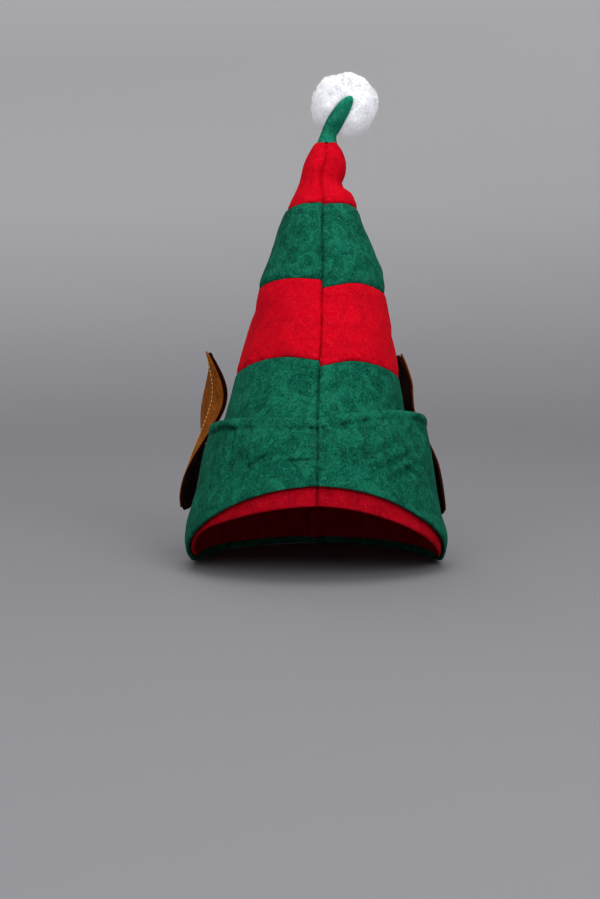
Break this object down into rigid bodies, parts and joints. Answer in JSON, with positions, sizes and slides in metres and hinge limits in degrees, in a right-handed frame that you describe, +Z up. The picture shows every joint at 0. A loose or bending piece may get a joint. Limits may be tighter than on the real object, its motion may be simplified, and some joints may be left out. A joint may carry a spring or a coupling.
{
  "type": "elf hat",
  "caption": "Pointed felt elf hat in green and red stripes, with a turned-up cuff arched over the face, felt ears and a plush pompom.",
  "frame": {"origin": "middle of the foot of the hat's box, on the surface that the cuff's lower edge rests on", "axes": "+Z up to the pompom, -Y the way the wearer faces, +X the wearer's left"},
  "size_m": [0.1794, 0.1924, 0.3238],
  "materials": {
    "felt_green": "matte brushed felt",
    "felt_red": "matte brushed felt",
    "felt_tan": "matte felt",
    "felt_brown": "matte felt",
    "plush_white": "soft plush"
  },
  "bodies": {
    "root": {"crown_green_base_left": "felt_green", "crown_green_base_right": "felt_green", "crown_green_middle_left": "felt_green", "crown_green_middle_right": "felt_green", "crown_red_lower_left": "felt_red", "crown_red_lower_right": "felt_red", "crown_red_rim_left": "felt_red", "crown_red_rim_right": "felt_red", "crown_red_upper_left": "felt_red", "crown_red_upper_right": "felt_red", "crown_tip": "felt_green", "cuff_left": "felt_green", "cuff_right": "felt_green", "ear_left_back": "felt_brown", "ear_left_front": "felt_tan", "ear_right_back": "felt_brown", "ear_right_front": "felt_tan", "pompom": "plush_white"}
  },
  "joints": []
}
